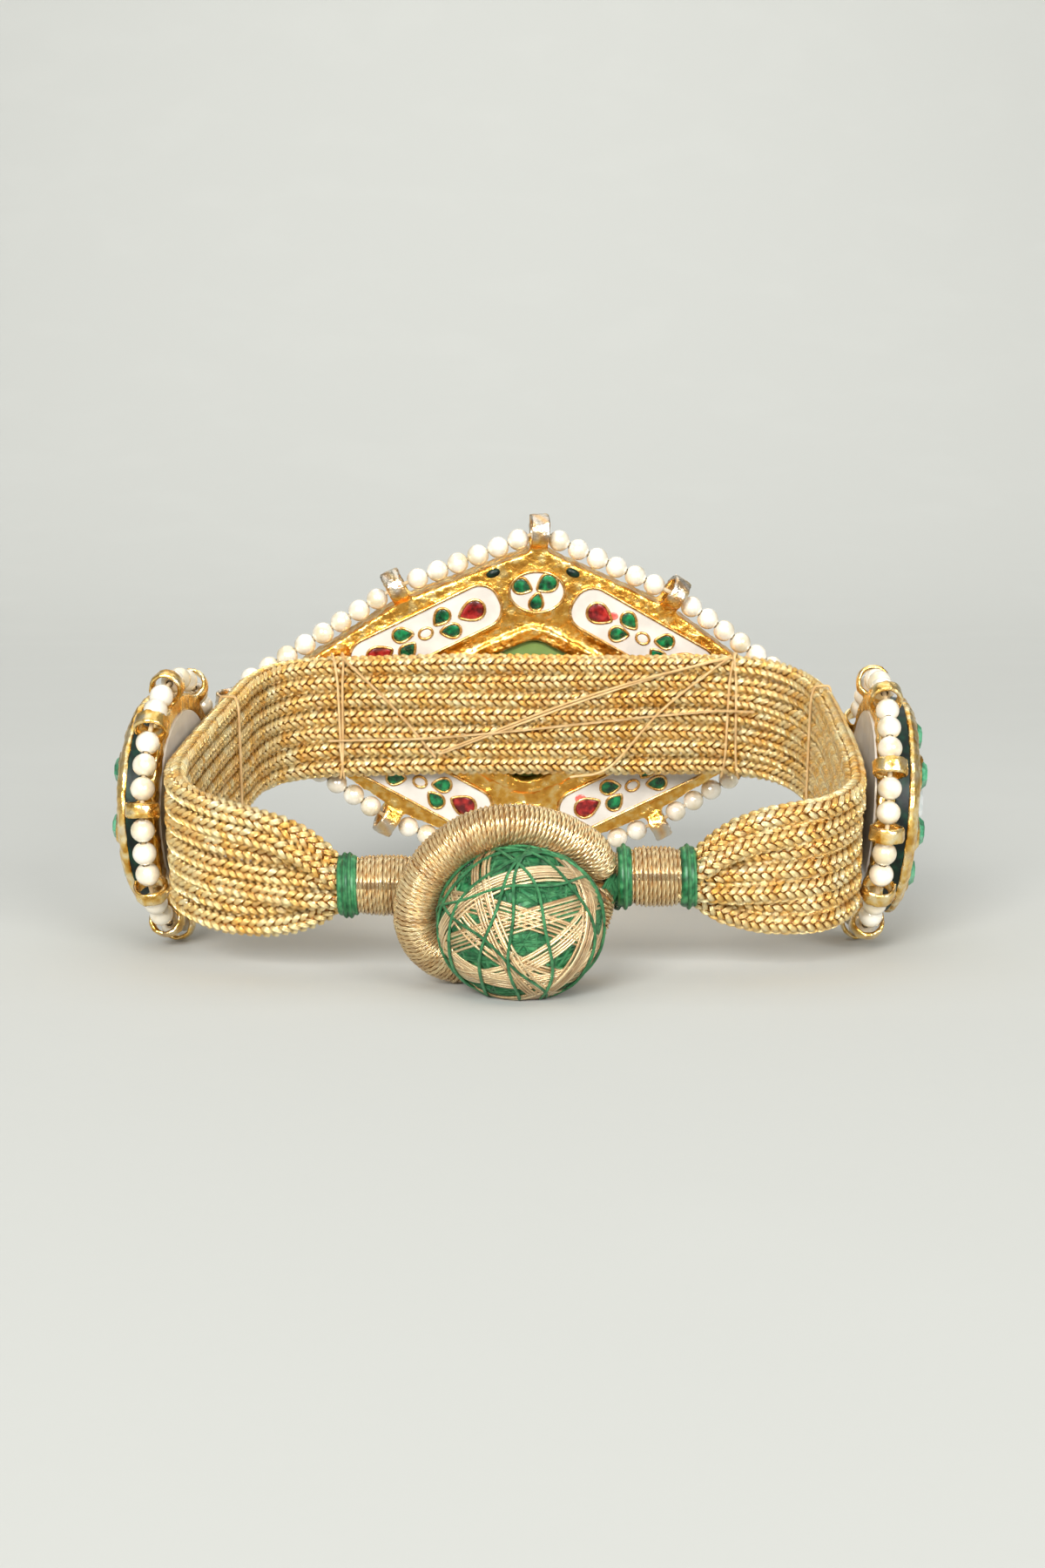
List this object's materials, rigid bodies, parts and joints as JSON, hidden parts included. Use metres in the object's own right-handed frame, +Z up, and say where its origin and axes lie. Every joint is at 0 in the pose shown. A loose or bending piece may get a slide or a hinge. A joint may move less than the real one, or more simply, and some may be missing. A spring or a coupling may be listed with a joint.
{
  "type": "kundan bracelet",
  "caption": "Rhombus and round enamelled plaques edged with pearls on a flat band of braided gold cords, closed by a cord loop over a thread button.",
  "frame": {"origin": "middle of the whole shape's base, on the surface that the bracelet lies on", "axes": "+Z up, +Y from the clasp to the centre plaque, +X to the right seen from the clasp"},
  "size_m": [0.0902, 0.0792, 0.0486],
  "materials": {
    "gold": "cast and gilded, bright on the high places",
    "white_enamel": "white enamel with painted flowers, glossy",
    "green_enamel": "dark green enamel, glossy",
    "pale_green_stone": "polished pale green stone",
    "clear_stone": "uncut stones over foil, polished",
    "corner_stone": "small green stones over foil, polished",
    "pearl": "pearl lustre",
    "stringing_thread": "twisted beading thread",
    "zari_cord": "braided gilt zari thread over an orange core",
    "gold_winding": "close wound beige gold thread",
    "green_winding": "close wound green thread",
    "button": "green thread button netted with gold thread"
  },
  "bodies": {
    "root": {"centre_frame": "gold", "centre_stone": "pale_green_stone", "enamel_panel_upper_left": "white_enamel", "enamel_panel_upper_right": "white_enamel", "enamel_panel_lower_left": "white_enamel", "enamel_panel_lower_right": "white_enamel", "enamel_disc_top": "white_enamel", "enamel_disc_bottom": "white_enamel", "enamel_disc_left": "white_enamel", "enamel_disc_right": "white_enamel", "front_stones_upper_left": "clear_stone", "front_stones_upper_right": "clear_stone", "front_stones_lower_left": "clear_stone", "front_stones_lower_right": "clear_stone", "corner_stone_top": "corner_stone", "corner_stone_bottom": "corner_stone", "corner_stone_left": "corner_stone", "corner_stone_right": "corner_stone", "centre_pearls": "pearl", "centre_pearl_thread": "stringing_thread", "left_plaque_frame": "gold", "left_back_enamel": "white_enamel", "left_wall_enamel": "green_enamel", "left_centre_stone": "clear_stone", "left_petal_stones": "corner_stone", "left_pearls": "pearl", "left_pearl_thread": "stringing_thread", "right_plaque_frame": "gold", "right_back_enamel": "white_enamel", "right_wall_enamel": "green_enamel", "right_centre_stone": "clear_stone", "right_petal_stones": "corner_stone", "right_pearls": "pearl", "right_pearl_thread": "stringing_thread", "band_cord_1": "zari_cord", "band_cord_2": "zari_cord", "band_cord_3": "zari_cord", "band_cord_4": "zari_cord", "band_cord_5": "zari_cord", "band_cord_6": "zari_cord", "band_cord_7": "zari_cord", "left_green_ring": "green_winding", "left_sleeve": "gold_winding", "button_shank": "gold_winding", "thread_button": "button", "closing_loop": "gold_winding", "right_inner_ring": "green_winding", "right_sleeve": "gold_winding", "right_outer_ring": "green_winding"}
  },
  "joints": []
}
